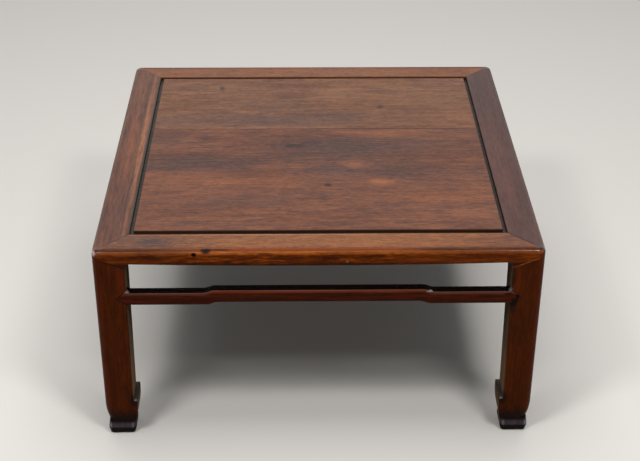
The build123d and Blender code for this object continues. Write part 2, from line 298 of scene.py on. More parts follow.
def wood(
    name, along, offset, pith, ring, tones, polish,
    wear=None, marks=(), chips_and_painted_light=(), rings=0.15, straight=1.0,
):
    """A varnished wood: two colours in streaks, darker late wood and veins, the marks of use, and
    some painted light and shade.

    Along is the axis of its grain, and offset its place in the noise, so that no two pieces are
    alike. Pith is the middle of the growth rings, on the two axes across the grain, and ring
    their width. Rings is how strongly they show.
    """
    s = Shading(name)
    grain = grain_space(s, along, offset)
    uneven = s.math("SUBTRACT", s.noise(grain, cells(12, 170, straight), 5.0, 0.65), 0.5)
    s.patchiness = s.math("MULTIPLY", uneven, 2.4)
    s.lines = s.noise(grain, cells(13, 290, straight), 3.0, 0.65)
    s.dashes = s.noise(grain, cells(42, 340, straight), 3.0, 0.65)
    masks = [blot(s, mark.place, mark.reach, mark.softness) for mark in marks]
    knots = [mask for mask, mark in zip(masks, marks) if mark.knot]
    late, streak, vein, fibre, pore = figure(s, grain, pith, ring, knots, straight)
    cloud = s.noise(grain, cells(4, 16), 4.0, 0.6)
    patch = s.noise(grain, cells(9, 34), 4.0, 0.65)
    colour = s.mix(s.ease(streak, 0.32, 0.68), tones.dark, tones.light)
    colour = s.mix(s.ease(cloud, 0.45, 0.72, 0.0, 0.5), colour, tones.dark)
    colour = s.mix(s.ease(patch, 0.50, 0.70, 0.0, 0.45), colour, tones.light)
    colour = s.mix(s.math("MULTIPLY", late, rings), colour, tones.late)
    for mask, mark in zip(masks, marks):
        colour = s.mix(s.math("MULTIPLY", mask, mark.strength), colour, mark.colour)
    colour = s.mix(s.ease(vein, 0.48, 0.68, 0.0, 0.5), colour, tones.late)
    colour = s.mix(s.ease(vein, 0.32, 0.46, 0.25, 0.0), colour, tones.light)
    colour = s.mix(s.ease(fibre, 0.45, 0.72, 0.0, 0.5), colour, tones.late)
    colour = s.mix(s.ease(fibre, 0.28, 0.48, 0.35, 0.0), colour, tones.light)
    colour = s.mix(s.math("MULTIPLY", pore, 0.45), colour, PORE)
    if wear is not None:
        colour = wear(s, colour)
    # Damage and dark gaps, and painted highlights and shade, over the wear
    for chip_or_light in chips_and_painted_light:
        mask = blot(s, chip_or_light.place, chip_or_light.reach, softness=0.35, ragged=0.5)
        colour = s.mix(s.math("MULTIPLY", mask, chip_or_light.strength), colour, chip_or_light.colour)
    relief = s.math("ADD", s.math("MULTIPLY", late, 0.3), s.math("MULTIPLY", fibre, 0.5))
    relief = s.math("SUBTRACT", relief, s.math("MULTIPLY", pore, 0.6))
    relief = s.math("ADD", relief, s.math("MULTIPLY", cloud, 1.5))
    return finish_wood(s, colour, relief, fibre, cloud, polish)


# ---------------------------------------------------------------------------------------------
# Wear, with painted light and shade
# ---------------------------------------------------------------------------------------------

# Dark grime in the joints; also painted shade in the frame's channel
GRIME_AND_SHADE = srgb(14, 10, 8)
OPENED = srgb(184, 116, 60)  # pale wood in the mitre that has opened, over the front right leg


class Corner(NamedTuple):
    """A place seen from the nearest corner of the table. Each value is a node's output."""

    side: bpy.types.NodeSocket  # inset from the nearer side face
    front: bpy.types.NodeSocket  # inset from the nearer front or back face
    inset: bpy.types.NodeSocket  # the smaller of the two
    reach: bpy.types.NodeSocket  # the larger
    level: bpy.types.NodeSocket


def nearest_corner(s):
    """The place that is being shaded, as the corner nearest to it sees it."""
    x, y, level = s.parts(s.place)
    side = s.math("SUBTRACT", WIDTH / 2, s.math("ABSOLUTE", x))
    front = s.math("SUBTRACT", DEPTH / 2, s.math("ABSOLUTE", y))
    inset = s.math("MINIMUM", side, front)
    reach = s.math("MAXIMUM", side, front)
    return Corner(side, front, inset, reach, level)


def facing_in(s):
    """1 on upright faces that look towards the middle of the table, 0 elsewhere."""
    inward = [
        s.math("MULTIPLY", s.math("SIGN", place), s.math("MULTIPLY", turn, -1.0))
        for place, turn in zip(s.parts(s.place)[:2], s.parts(s.facing)[:2])
    ]
    return s.ease(s.math("MAXIMUM", *inward), 0.30, 0.85)


def facing_up(s, low, high, start=0.0, end=1.0):
    """Start on upright faces, end on level ones that face up."""
    return s.ease(s.parts(s.facing)[2], low, high, start, end)


def joint_line(s, away, width, strength):
    """A line of the given half width along a joint, which lies where away is 0."""
    return s.ease(s.math("ABSOLUTE", away), width * 0.4, width, strength, 0.0)


def leg_mitre(s, corner, width, strength):
    """A line along the mitres between the frame and a leg."""
    fall = s.math("MULTIPLY", corner.reach, (MITRE_LEVEL - EAR_LEVEL) / LEG_SIDE)
    away = s.math("ADD", s.math("SUBTRACT", corner.level, MITRE_LEVEL), fall)
    return joint_line(s, away, width, strength)


def shoulder_line(s, corner, width, strength):
    """A line along the V-shaped shoulders of the stretchers."""
    tip_inset, tip_level = SHOULDER_TIP
    upper_slope, lower_slope = SHOULDER_SLOPES
    above = s.math("DIVIDE", s.math("SUBTRACT", corner.level, tip_level), upper_slope)
    below = s.math("DIVIDE", s.math("SUBTRACT", tip_level, corner.level), lower_slope)
    past_tip = s.math("SUBTRACT", corner.reach, tip_inset)
    away = s.math("SUBTRACT", past_tip, s.math("MAXIMUM", above, below))
    return joint_line(s, away, width, strength)


def upright_varnish_and_shade(s, colour, level, middle):
    """The deep varnish of the frame's upright faces, darker also as painted shade, with dark and
    light dashes and painted shade along the lower edge.
    """
    vivid = s.ease(middle, 0.0, 1.0, 0.5, 1.0)
    dark_dash = s.math("MULTIPLY", s.ease(s.dashes, 0.50, 0.66, 0.0, 0.75), vivid)
    light_dash = s.math("MULTIPLY", s.ease(s.dashes, 0.34, 0.47, 0.6, 0.0), vivid)
    # Deeper, darker colour on upright faces: deep varnish and painted shade
    deep = s.tinted(colour, (0.72, 0.36, 0.04, 1.0))
    deep = s.mix(s.ease(s.lines, 0.46, 0.64, 0.0, 0.4), deep, srgb(60, 22, 4))
    deep = s.mix(dark_dash, deep, srgb(44, 14, 3))
    deep = s.mix(light_dash, deep, srgb(168, 82, 16))
    # Painted shade along the lower edge of the rail's face
    low = s.ease(level, RAIL_SPRING - 0.002, RAIL_SPRING + 0.005, 0.75, 0.0)
    return s.mix(low, deep, srgb(24, 8, 2))


def rounded_varnish_and_highlight(s, colour, inset, middle, across_front):
    """The varnish of the frame's rounded arrises, lighter outside than at the channel, with a painted
    highlight on the arrises across the front and back that is strongest in the middle.
    """
    # Painted highlight: the front and back arrises are lighter and more orange towards the middle
    tint = s.mix(middle, (0.90, 0.63, 0.35, 1.0), (1.38, 1.00, 0.50, 1.0))
    tint = s.mix(across_front, (1.20, 1.08, 0.96, 1.0), tint)
    tint = s.mix(s.ease(inset, 0.012, 0.020), tint, (0.64, 0.56, 0.42, 1.0))
    dash = s.ease(s.dashes, 0.50, 0.66, 0.0, 0.4)
    return s.mix(dash, s.tinted(colour, tint), srgb(104, 48, 18))


def frame_grime_and_shade(s, corner):
    """Grime in the mitres of the frame and in those to the legs, and dust and painted shade at the
    foot of the channel's walls.
    """
    x, y = s.parts(s.place)[:2]
    # Dust and painted shade low on the frame's walls in the channel
    channel = s.math(
        "MULTIPLY",
        s.ease(corner.inset, FRAME_WIDTH - 0.0006, FRAME_WIDTH - 0.0001),
        s.ease(corner.level, HEIGHT - 0.0030, HEIGHT - 0.0016, 0.9, 0.0),
    )
    mitre = s.math("ABSOLUTE", s.math("SUBTRACT", corner.side, corner.front))
    seam = s.math("MULTIPLY", s.ease(mitre, 0.0010, 0.0026, 0.75, 0.0), facing_up(s, 0.15, 0.85))
    seam = s.math("MULTIPLY", seam, s.ease(y, -0.20, 0.20, 1.0, 0.35))
    seam = s.math("MULTIPLY", seam, s.ease(x, -0.20, 0.20, 0.65, 1.0))
    opened = s.math("MULTIPLY", s.ease(x, 0.25, 0.29), s.ease(y, -0.349, -0.344, 1.0, 0.0))
    closed = s.math("SUBTRACT", 1.0, opened)
    at_leg = s.math("MULTIPLY", leg_mitre(s, corner, 0.0012, 0.75), closed)
    return s.math("MAXIMUM", s.math("MAXIMUM", seam, at_leg), channel)


def frame_wear(s, colour):
    """Deep varnish and painted shade on upright faces, an abraded arris with a painted highlight and
    a dark painted reflection, grime in the mitres, and dust and painted shade in the channel.
    """
    corner = nearest_corner(s)
    from_middle = s.math("ABSOLUTE", s.math("ADD", s.parts(s.place)[0], 0.03))
    middle = s.ease(from_middle, 0.13, 0.22, 1.0, 0.0)
    across_front = s.math("LESS_THAN", corner.front, corner.side)

    near = s.math("MULTIPLY", s.ease(corner.inset, 0.010, 0.020, 0.85, 0.0), across_front)
    top = s.mix(near, colour, s.tinted(colour, (0.88, 0.68, 0.46, 1.0)))
    rounded = rounded_varnish_and_highlight(s, colour, corner.inset, middle, across_front)
    upper = s.mix(facing_up(s, 0.75, 0.92), rounded, top)
    # Upright faces take the deep varnish, darker also as painted shade
    upright = upright_varnish_and_shade(s, colour, corner.level, middle)
    colour = s.mix(facing_up(s, 0.03, 0.34), upright, upper)

    edge = s.ease(corner.inset, 0.0088, 0.0112, 1.0, 0.0)
    # A dark line along the top of the front and back arrises: abraded wear and a painted reflection,
    # more orange in the middle
    arris_wear_and_reflection = s.math("MULTIPLY", edge, facing_up(s, 0.73, 0.83, 0.0, 0.9))
    arris_wear_and_reflection = s.math("MULTIPLY", arris_wear_and_reflection, s.ease(s.patchiness, -0.35, 0.05, 0.5, 1.0))
    arris_wear_and_reflection = s.math("MULTIPLY", arris_wear_and_reflection, across_front)
    colour = s.mix(arris_wear_and_reflection, colour, s.mix(middle, srgb(66, 30, 10), srgb(114, 52, 10)))
    facing_back = s.ease(s.parts(s.facing)[1], 0.25, 0.6, 0.0, 0.6)
    colour = s.mix(s.math("MULTIPLY", edge, facing_back), colour, srgb(58, 48, 44))
    at_corner = s.ease(corner.reach, 0.009, 0.020, 0.75, 0.0)
    s.shine = s.math("MULTIPLY", at_corner, facing_up(s, 0.15, 0.4))
    return s.mix(frame_grime_and_shade(s, corner), colour, GRIME_AND_SHADE)


def panel_wear(s, colour):
    """Grime in the seam, dust and painted shade on the tongue in the channel, and dull bare wood
    below.
    """
    x, y, level = s.parts(s.place)
    gap = s.math("ABSOLUTE", s.math("SUBTRACT", y, SEAM))
    along_seam = s.ease(x, -0.18, 0.10, 0.25, 0.8)
    open_seam = s.math("MULTIPLY", s.ease(gap, 0.0008, 0.0022, 1.0, 0.0), along_seam)
    open_seam = s.math("MULTIPLY", open_seam, s.ease(s.patchiness, -0.5, 0.2, 0.4, 1.0))
    colour = s.mix(open_seam, colour, srgb(44, 26, 20))
    # Dust and painted shade on the tongue and the edges in the channel, near black on the right
    tongue = s.ease(level, HEIGHT - CHANNEL_DEPTH + 0.0004, HEIGHT - 0.0008, 0.92, 0.0)
    tongue_dust_and_shade = s.mix(s.ease(x, 0.20, 0.28), srgb(30, 30, 18), srgb(14, 11, 8))
    colour = s.mix(tongue, colour, tongue_dust_and_shade)
    below = s.ease(level, PANEL_UNDERSIDE + 0.0002, PANEL_UNDERSIDE + 0.0008, 0.85, 0.0)
    return s.mix(below, colour, srgb(104, 80, 60))


def spot(s, corner, place, reach, strength):
    """A patch on every leg. Its place is a reach, an inset and a level, as Corner has them."""
    away = s.vector("SUBTRACT", s.join(corner.reach, corner.inset, corner.level), place)
    spread = s.vector("LENGTH", s.vector("DIVIDE", away, reach), output="Value")
    spread = s.math("ADD", spread, s.math("MULTIPLY", s.patchiness, 0.4))
    return s.ease(spread, 0.6, 1.3, strength, 0.0)


def pad_colour(s, corner):
    """A near-black pad, with a painted reflection as a sheen along its belly and painted highlights
    at the ends of each face.
    """
    belly = s.band(corner.level, 0.0100, 0.0155, 0.0180, 0.0250)
    # Painted reflection: a sheen along the belly
    sheen = s.math("MULTIPLY", belly, s.ease(s.patchiness, -0.5, 0.3, 0.45, 0.95))
    # Painted highlights at the ends of each face
    outer_end = s.ease(corner.reach, 0.0065, 0.0090, 0.6, 0.0)
    from_inner_end = s.math("ABSOLUTE", s.math("SUBTRACT", corner.reach, 0.0425))
    inner_end = s.ease(from_inner_end, 0.001, 0.003, 0.25, 0.0)
    end_highlights = s.math("MULTIPLY", belly, s.math("MAXIMUM", outer_end, inner_end))
    return s.mix(end_highlights, s.mix(sheen, srgb(28, 17, 16), srgb(82, 73, 78)), srgb(160, 156, 164))


def foot_wear(s, colour, corner):
    """Darker beside the ledge, painted shade on the hoof above the pad, the pad, and dust with a
    painted reflection on the ledge and a painted highlight at its near end.
    """
    beside = spot(s, corner, (0.048, 0.0, LEDGE_HEIGHT), (0.007, 0.012, 0.014), 0.75)
    colour = s.mix(beside, colour, srgb(16, 10, 8))
    # Painted shade: the hoof darkens down towards the pad, where it curves under
    ragged = s.math("ADD", corner.level, s.math("MULTIPLY", s.patchiness, 0.008))
    colour = s.mix(s.ease(ragged, 0.031, 0.056, 0.9, 0.0), colour, srgb(24, 12, 6))
    on_pad = s.ease(corner.level, PAD_HEIGHT - 0.0007, PAD_HEIGHT + 0.0001, 1.0, 0.0)
    colour = s.mix(on_pad, colour, pad_colour(s, corner))
    # Dust and a painted reflection on the top of the ledge
    above_ledge = s.math("SUBTRACT", corner.level, LEDGE_HEIGHT)
    at_ledge = s.band(above_ledge, -0.007, -0.005, 0.003, 0.005, 0.9)
    ledge = s.math("MULTIPLY", facing_up(s, 0.5, 0.9), at_ledge)
    colour = s.mix(ledge, colour, srgb(60, 62, 56))
    # A painted highlight at the near end of the ledge
    tip_highlight = spot(s, corner, (0.0515, 0.0015, LEDGE_HEIGHT - 0.002), (0.0028, 0.0026, 0.0036), 0.5)
    return s.mix(s.math("MULTIPLY", tip_highlight, facing_up(s, 0.2, 0.5)), colour, srgb(126, 122, 132))


def leg_wear(s, colour, mitre_tint=GRIME_AND_SHADE):
    """An abraded outer corner with a painted highlight, dusty inner faces with a dust sheen and a
    painted reflection low down, a foot with painted shade, reflections and highlights, and dark
    joints.
    """
    corner = nearest_corner(s)
    # Abraded outer corner, lighter also as a painted highlight on its rounding
    rubbed_and_lit = s.math("ADD", corner.reach, s.math("MULTIPLY", s.patchiness, 0.005))
    colour = s.mix(s.ease(rubbed_and_lit, 0.004, 0.013, 0.6, 0.0), colour, srgb(98, 38, 14))
    colour = s.mix(s.ease(s.lines, 0.46, 0.66, 0.0, 0.30), colour, srgb(46, 16, 2))
    red = spot(s, corner, (0.043, 0.0, 0.300), (0.007, 0.006, 0.034), 0.25)
    colour = s.mix(red, colour, srgb(122, 44, 18))

    inner = facing_in(s)
    # Dusty inner faces, paler low down as a painted reflection of the floor
    pale_low_reflection = s.band(corner.level, LEDGE_HEIGHT + 0.001, LEDGE_HEIGHT + 0.009, 0.135, 0.175)
    inner_dust_and_reflection = s.mix(pale_low_reflection, srgb(66, 38, 24), srgb(100, 68, 46))
    inner_dust_and_reflection = s.mix(s.ease(corner.level, 0.272, 0.292), inner_dust_and_reflection, srgb(76, 50, 34))
    colour = s.mix(s.math("MULTIPLY", inner, 0.9), colour, inner_dust_and_reflection)
    s.dull = inner
    s.dust = s.math("MULTIPLY", inner, 0.38)

    colour = foot_wear(s, colour, corner)
    off_corner = s.ease(corner.reach, 0.005, 0.012)
    faded = s.math("MULTIPLY", s.ease(s.patchiness, -0.4, 0.2, 0.45, 1.0), off_corner)
    mitre = s.math("MULTIPLY", leg_mitre(s, corner, 0.0016, 0.75), faded)
    colour = s.mix(mitre, colour, mitre_tint)
    return s.mix(shoulder_line(s, corner, 0.0018, 0.7), colour, GRIME_AND_SHADE)


def opened_leg_wear(s, colour):
    """A leg whose mitre has opened and shows pale wood."""
    return leg_wear(s, colour, OPENED)


def stretcher_wear(s, colour):
    """Old dust and painted shade darken the upper side, the abraded arris carries a painted highlight
    with a painted sheen below it, and grime fills the joints.
    """
    corner = nearest_corner(s)
    rise = s.parts(s.facing)[2]
    hump = s.ease(corner.reach, *HUMP_STEP)
    top = s.math("ADD", s.math("MULTIPLY", hump, HUMP_RISE), STRETCHER_TOP)
    below = s.math("SUBTRACT", top, corner.level)
    colour = s.mix(s.ease(s.lines, 0.44, 0.64, 0.0, 0.6), colour, srgb(36, 9, 2))
    colour = s.mix(s.ease(s.lines, 0.36, 0.46, 0.3, 0.0), colour, srgb(112, 44, 16))
    colour = s.mix(s.ease(below, 0.009, 0.021, 0.0, 0.5), colour, srgb(46, 20, 10))
    colour = s.mix(s.ease(s.patchiness, 0.0, 0.5, 0.0, 0.45), colour, srgb(108, 28, 14))
    thin = s.ease(s.patchiness, -0.5, 0.4, 0.5, 1.0)
    # A painted sheen on the face just below the arris
    sheen_below_arris = s.math("MULTIPLY", s.ease(below, 0.0022, 0.0075, 1.0, 0.0), thin)
    colour = s.mix(sheen_below_arris, colour, s.mix(hump, srgb(110, 62, 48), srgb(130, 66, 46)))
    # The arris: abraded, with a painted highlight
    arris_wear_and_reflection = s.math("MULTIPLY", s.band(rise, 0.05, 0.20, 0.45, 0.62, 0.9), thin)
    colour = s.mix(arris_wear_and_reflection, colour, s.mix(hump, srgb(122, 84, 76), srgb(144, 86, 68)))
    # Old dust and painted shade make the upper side near black
    colour = s.mix(s.ease(rise, 0.48, 0.70), colour, srgb(12, 5, 4))
    s.dull = facing_in(s)
    return s.mix(shoulder_line(s, corner, 0.0020, 0.8), colour, GRIME_AND_SHADE)


# ---------------------------------------------------------------------------------------------
# Marks of each piece, and painted highlights and shade
# ---------------------------------------------------------------------------------------------

KNOT = srgb(38, 18, 10)
BAND = srgb(58, 42, 40)
PATCH = srgb(158, 94, 56)
TAN = srgb(152, 106, 68)
BLACK = srgb(8, 4, 3)
# Colour of the painted highlights on the front stretcher
PAINTED_HIGHLIGHT = srgb(186, 172, 168)


def top_mark(x, y, half_x, half_y, softness, colour, strength, knot=False):
    """A mark on the top of the table, deep enough to run over its arrises."""
    return Mark((x, y, HEIGHT), (half_x, half_y, 0.02), softness, colour, strength, knot)


def front_mark(x, z, half_x, half_z, softness, colour, strength, knot=False):
    """A mark on the front face."""
    return Mark((x, FRONT, z), (half_x, 0.010, half_z), softness, colour, strength, knot)


def front_chip_or_light(x, z, half_x, half_z, colour, strength, half_y=0.006):
    """A sharper patch on the front face. Some are damage and dark gaps, some painted highlights."""
    return ChipOrPaintedLight((x, FRONT, z), (half_x, half_y, half_z), colour, strength)


front_board_marks = [
    top_mark(-0.210, -0.060, 0.105, 0.028, 0.7, BAND, 0.75),
    top_mark(-0.085, -0.036, 0.060, 0.018, 0.7, BAND, 0.32),
    top_mark(0.055, -0.004, 0.125, 0.042, 0.8, BAND, 0.75),
    top_mark(0.140, -0.094, 0.070, 0.026, 0.8, BAND, 0.60),
    top_mark(0.040, -0.084, 0.055, 0.020, 0.8, srgb(58, 46, 50), 0.55),
    top_mark(-0.010, -0.120, 0.035, 0.014, 0.8, BAND, 0.30),
    top_mark(0.272, -0.110, 0.014, 0.050, 0.8, BAND, 0.28),
    top_mark(-0.262, 0.040, 0.026, 0.022, 0.8, BAND, 0.50),
    top_mark(-0.150, -0.200, 0.090, 0.018, 0.8, BAND, 0.40),
    top_mark(0.130, -0.200, 0.030, 0.012, 0.8, BAND, 0.20),
    top_mark(0.230, -0.236, 0.056, 0.014, 0.8, PATCH, 0.34),
    top_mark(0.130, 0.052, 0.050, 0.014, 0.8, PATCH, 0.50),
    top_mark(-0.196, 0.030, 0.013, 0.010, 0.8, KNOT, 0.60, knot=True),
    top_mark(-0.039, 0.003, 0.013, 0.006, 0.7, KNOT, 0.90, knot=True),
    top_mark(0.018, -0.140, 0.007, 0.0055, 0.5, KNOT, 1.0, knot=True),
    top_mark(0.195, -0.233, 0.010, 0.006, 0.7, KNOT, 0.55, knot=True),
    top_mark(-0.227, -0.121, 0.085, 0.024, 0.8, PATCH, 0.32),
    top_mark(-0.160, -0.128, 0.024, 0.010, 0.8, PATCH, 0.55),
    top_mark(-0.068, -0.130, 0.058, 0.019, 0.8, PATCH, 0.30),
    top_mark(-0.230, -0.180, 0.070, 0.016, 0.8, PATCH, 0.20),
    top_mark(-0.125, -0.224, 0.085, 0.012, 0.8, PATCH, 0.18),
    top_mark(0.107, -0.128, 0.020, 0.011, 0.7, PATCH, 0.80),
    top_mark(0.262, -0.150, 0.022, 0.030, 0.8, PATCH, 0.35),
    top_mark(0.180, -0.185, 0.090, 0.014, 0.8, PATCH, 0.40),
    top_mark(0.065, -0.068, 0.020, 0.012, 0.8, PATCH, 0.55),
    top_mark(0.060, 0.058, 0.036, 0.007, 0.8, PATCH, 0.50),
]
back_board_marks = [
    top_mark(-0.176, 0.246, 0.005, 0.009, 0.6, KNOT, 0.80, knot=True),
    top_mark(0.121, 0.162, 0.006, 0.007, 0.6, KNOT, 0.90, knot=True),
    top_mark(0.054, 0.219, 0.046, 0.034, 0.8, TAN, 0.32),
    top_mark(0.225, 0.190, 0.080, 0.040, 0.8, TAN, 0.18),
    top_mark(-0.080, 0.180, 0.070, 0.030, 0.8, BAND, 0.25),
    top_mark(0.020, 0.130, 0.060, 0.024, 0.8, BAND, 0.30),
    top_mark(-0.100, 0.108, 0.180, 0.022, 0.8, srgb(58, 48, 52), 0.52),
    top_mark(0.126, 0.262, 0.050, 0.014, 0.8, TAN, 0.40),
]
left_rail_marks = [
    top_mark(-0.3060, -0.020, 0.0036, 0.270, 0.6, srgb(180, 118, 84), 0.56),
    top_mark(-0.3060, 0.060, 0.0060, 0.190, 0.6, srgb(146, 90, 52), 0.30),
    top_mark(-0.315, 0.180, 0.0030, 0.120, 0.5, srgb(54, 32, 26), 0.45),
    top_mark(-0.311, -0.170, 0.0025, 0.120, 0.5, srgb(50, 28, 24), 0.65),
    top_mark(-0.326, -0.240, 0.0220, 0.120, 0.7, srgb(84, 52, 44), 0.75),
    top_mark(-0.338, -0.020, 0.0050, 0.260, 0.7, srgb(84, 44, 34), 0.40),
    top_mark(-0.325, 0.060, 0.0070, 0.200, 0.7, srgb(136, 76, 50), 0.50),
]
right_rail_marks = [
    top_mark(0.316, -0.060, 0.0130, 0.150, 0.8, srgb(112, 62, 48), 0.35),
    top_mark(0.308, 0.250, 0.0080, 0.060, 0.8, srgb(72, 52, 48), 0.40),
]
front_rail_marks = [
    top_mark(-0.270, -0.325, 0.085, 0.030, 0.7, srgb(92, 62, 50), 0.60),
    top_mark(0.300, -0.325, 0.075, 0.030, 0.8, srgb(100, 58, 42), 0.70),
    top_mark(-0.262, -0.324, 0.026, 0.014, 0.6, srgb(56, 48, 50), 0.85),
    top_mark(-0.312, -0.314, 0.026, 0.022, 0.7, srgb(88, 64, 54), 0.65),
    top_mark(0.310, -0.312, 0.030, 0.020, 0.7, srgb(96, 68, 58), 0.50),
    top_mark(-0.040, -0.2995, 0.250, 0.0022, 0.6, srgb(168, 130, 110), 0.60),
    front_mark(-0.084, 0.3500, 0.012, 0.0025, 0.5, KNOT, 0.70, knot=True),
    front_mark(-0.265, 0.3440, 0.030, 0.0040, 0.7, srgb(40, 16, 6), 0.60),
    front_mark(-0.215, 0.3370, 0.022, 0.0030, 0.7, srgb(40, 16, 6), 0.45),
    front_mark(0.160, 0.3360, 0.090, 0.0025, 0.7, srgb(150, 92, 34), 0.50),
    front_mark(0.325, 0.3450, 0.014, 0.0035, 0.8, srgb(190, 118, 40), 0.60),
]

# Darker strips along the edges of the channel: painted shade on the front board's and the left
# rail's, a brown line on the back rail's
front_board_edge_shade = [ChipOrPaintedLight((0.0, -0.2882, HEIGHT), (0.450, 0.0026, 0.006), srgb(56, 32, 18), 0.80)]
left_rail_edge_shade = [ChipOrPaintedLight((-0.2962, 0.0, HEIGHT), (0.0036, 0.450, 0.006), srgb(56, 48, 42), 0.90)]
back_rail_edge = [ChipOrPaintedLight((0.0, 0.2975, HEIGHT), (0.450, 0.0028, 0.006), srgb(80, 46, 26), 0.85)]

# Damage to the arris of the frame
rail_chips = [
    front_chip_or_light(-0.1926, 0.3492, 0.0034, 0.0030, BLACK, 1.0, half_y=0.010),
    ChipOrPaintedLight((-0.1740, -0.3470, 0.3540), (0.0082, 0.0046, 0.0050), srgb(14, 8, 12), 0.95),
    ChipOrPaintedLight((-0.1520, -0.3455, 0.3550), (0.0160, 0.0020, 0.0030), srgb(40, 16, 8), 0.80),
    front_chip_or_light(0.0430, 0.3360, 0.0020, 0.0018, srgb(160, 110, 90), 0.60, half_y=0.010),
]
# A painted highlight on the rounded front left corner
left_corner_highlight = [
    ChipOrPaintedLight((-0.3465, -0.3460, 0.3495), (0.0050, 0.0060, 0.0036), srgb(208, 178, 178), 0.80),
]

# The gap and the smears where the front stretcher has come away from the front right leg, and a
# painted highlight on the stretcher's flare beside it
opened_joint_and_highlight = [
    front_chip_or_light(0.3080, 0.2622, 0.0060, 0.0055, srgb(16, 15, 10), 0.90),
    front_chip_or_light(0.3110, 0.2700, 0.0035, 0.0035, BLACK, 0.90),
    front_chip_or_light(0.3060, 0.2550, 0.0050, 0.0045, srgb(14, 8, 6), 0.85),
    front_chip_or_light(0.3050, 0.2462, 0.0050, 0.0070, srgb(20, 16, 16), 0.55),
    front_chip_or_light(0.2965, 0.2752, 0.0070, 0.0020, BLACK, 0.80),
    # A painted highlight on the flare of the stretcher
    front_chip_or_light(0.2980, 0.2838, 0.0040, 0.0032, srgb(110, 122, 116), 0.75, half_y=0.010),
]

# Painted highlights on the arris of the front stretcher, and a dark patch on the leg above it
stretcher_highlights = [
    front_chip_or_light(0.1725, 0.2804, 0.0044, 0.0015, PAINTED_HIGHLIGHT, 0.52),
    front_chip_or_light(-0.3000, 0.2818, 0.0070, 0.0018, PAINTED_HIGHLIGHT, 0.35),
]
leg_chips = [front_chip_or_light(0.3025, 0.3080, 0.0040, 0.0180, srgb(20, 18, 12), 0.60)]


# ---------------------------------------------------------------------------------------------
# The woods
# ---------------------------------------------------------------------------------------------

DRY = Polish(0.40, upright=0.15, level=0.50, coat=0.05, coat_roughness=0.22)
POLISHED = Polish(0.28, upright=0.03, level=0.32, coat=0.04, coat_roughness=0.12)
DEEP = Polish(0.26, upright=0.03, level=0.50, coat=0.02, coat_roughness=0.12)
SOOTY = Polish(0.30, upright=0.03, level=0.12, coat=0.02, coat_roughness=0.12)
BARE = Polish(0.60, upright=0.20, level=0.40, coat=0.0, coat_roughness=0.2)

front_board_tones = Tones(srgb(90, 48, 32), srgb(130, 77, 48), srgb(60, 36, 28))
back_board_tones = Tones(srgb(98, 58, 36), srgb(140, 90, 56), srgb(70, 42, 28))
front_rail_tones = Tones(srgb(126, 76, 42), srgb(156, 98, 56), srgb(86, 46, 24))
back_rail_tones = Tones(srgb(120, 70, 36), srgb(148, 92, 52), srgb(88, 46, 24))
left_rail_tones = Tones(srgb(94, 55, 36), srgb(122, 76, 49), srgb(60, 34, 26))
right_rail_tones = Tones(srgb(74, 48, 42), srgb(90, 58, 48), srgb(58, 38, 34))
leg_tones = Tones(srgb(74, 29, 2), srgb(94, 38, 3), srgb(52, 18, 1))
stretcher_tones = Tones(srgb(64, 23, 4), srgb(84, 33, 8), srgb(44, 13, 3))
batten_tones = Tones(srgb(104, 74, 48), srgb(132, 98, 66), srgb(84, 58, 38))

woods = {
    "front_panel_board": wood(
        "front board",
        along="X", offset=(0.0, 0.0, 0.0), pith=(-0.10, 0.26), ring=0.0062,
        tones=front_board_tones, polish=DRY, wear=panel_wear,
        marks=front_board_marks, chips_and_painted_light=front_board_edge_shade,
    ),
    "back_panel_board": wood(
        "back board",
        along="X", offset=(1.7, 0.4, 0.3), pith=(0.45, 0.45), ring=0.0070,
        tones=back_board_tones, polish=DRY, wear=panel_wear,
        marks=back_board_marks,
    ),
    "front_rail": wood(
        "front rail",
        along="X", offset=(3.1, 0.0, 0.0), pith=(-0.42, 0.30), ring=0.0055, rings=0.25,
        tones=front_rail_tones, polish=POLISHED, wear=frame_wear,
        marks=front_rail_marks, chips_and_painted_light=rail_chips + left_corner_highlight,
    ),
    "back_rail": wood(
        "back rail",
        along="X", offset=(4.7, 0.0, 0.0), pith=(0.42, 0.30), ring=0.0060, rings=0.25,
        tones=back_rail_tones, polish=POLISHED, wear=frame_wear,
        chips_and_painted_light=back_rail_edge,
    ),
    "left_rail": wood(
        "left rail",
        along="Y", offset=(5.3, 0.0, 0.0), pith=(-0.32, 0.28), ring=0.0042, rings=0.2,
        tones=left_rail_tones, polish=POLISHED, wear=frame_wear, straight=3.0,
        marks=left_rail_marks, chips_and_painted_light=left_rail_edge_shade + left_corner_highlight,
    ),
    "right_rail": wood(
        "right rail",
        along="Y", offset=(6.1, 0.0, 0.0), pith=(0.27, 0.20), ring=0.0060,
        tones=right_rail_tones, polish=POLISHED, wear=frame_wear, straight=2.0,
        marks=right_rail_marks,
    ),
}

legs = ("front_left_leg", "front_right_leg", "back_left_leg", "back_right_leg")
for index, name in enumerate(legs):
    opened = name == "front_right_leg"
    woods[name] = wood(
        name.replace("_", " "),
        along="Z", offset=(0.9 * index, 0.37 * index, 0.0), pith=(0.10, -0.06), ring=0.0058,
        tones=leg_tones, polish=DEEP, wear=opened_leg_wear if opened else leg_wear,
        chips_and_painted_light=opened_joint_and_highlight + leg_chips if opened else (),
    )

stretchers = ("front_stretcher", "back_stretcher", "left_stretcher", "right_stretcher")
for index, name in enumerate(stretchers):
    woods[name] = wood(
        name.replace("_", " "),
        along="X" if index < 2 else "Y",
        offset=(0.0, 0.0, 1.3 * index), pith=(0.1, 0.3), ring=0.0050,
        tones=stretcher_tones, polish=SOOTY, wear=stretcher_wear,
        chips_and_painted_light=opened_joint_and_highlight + stretcher_highlights if name == "front_stretcher" else (),
    )

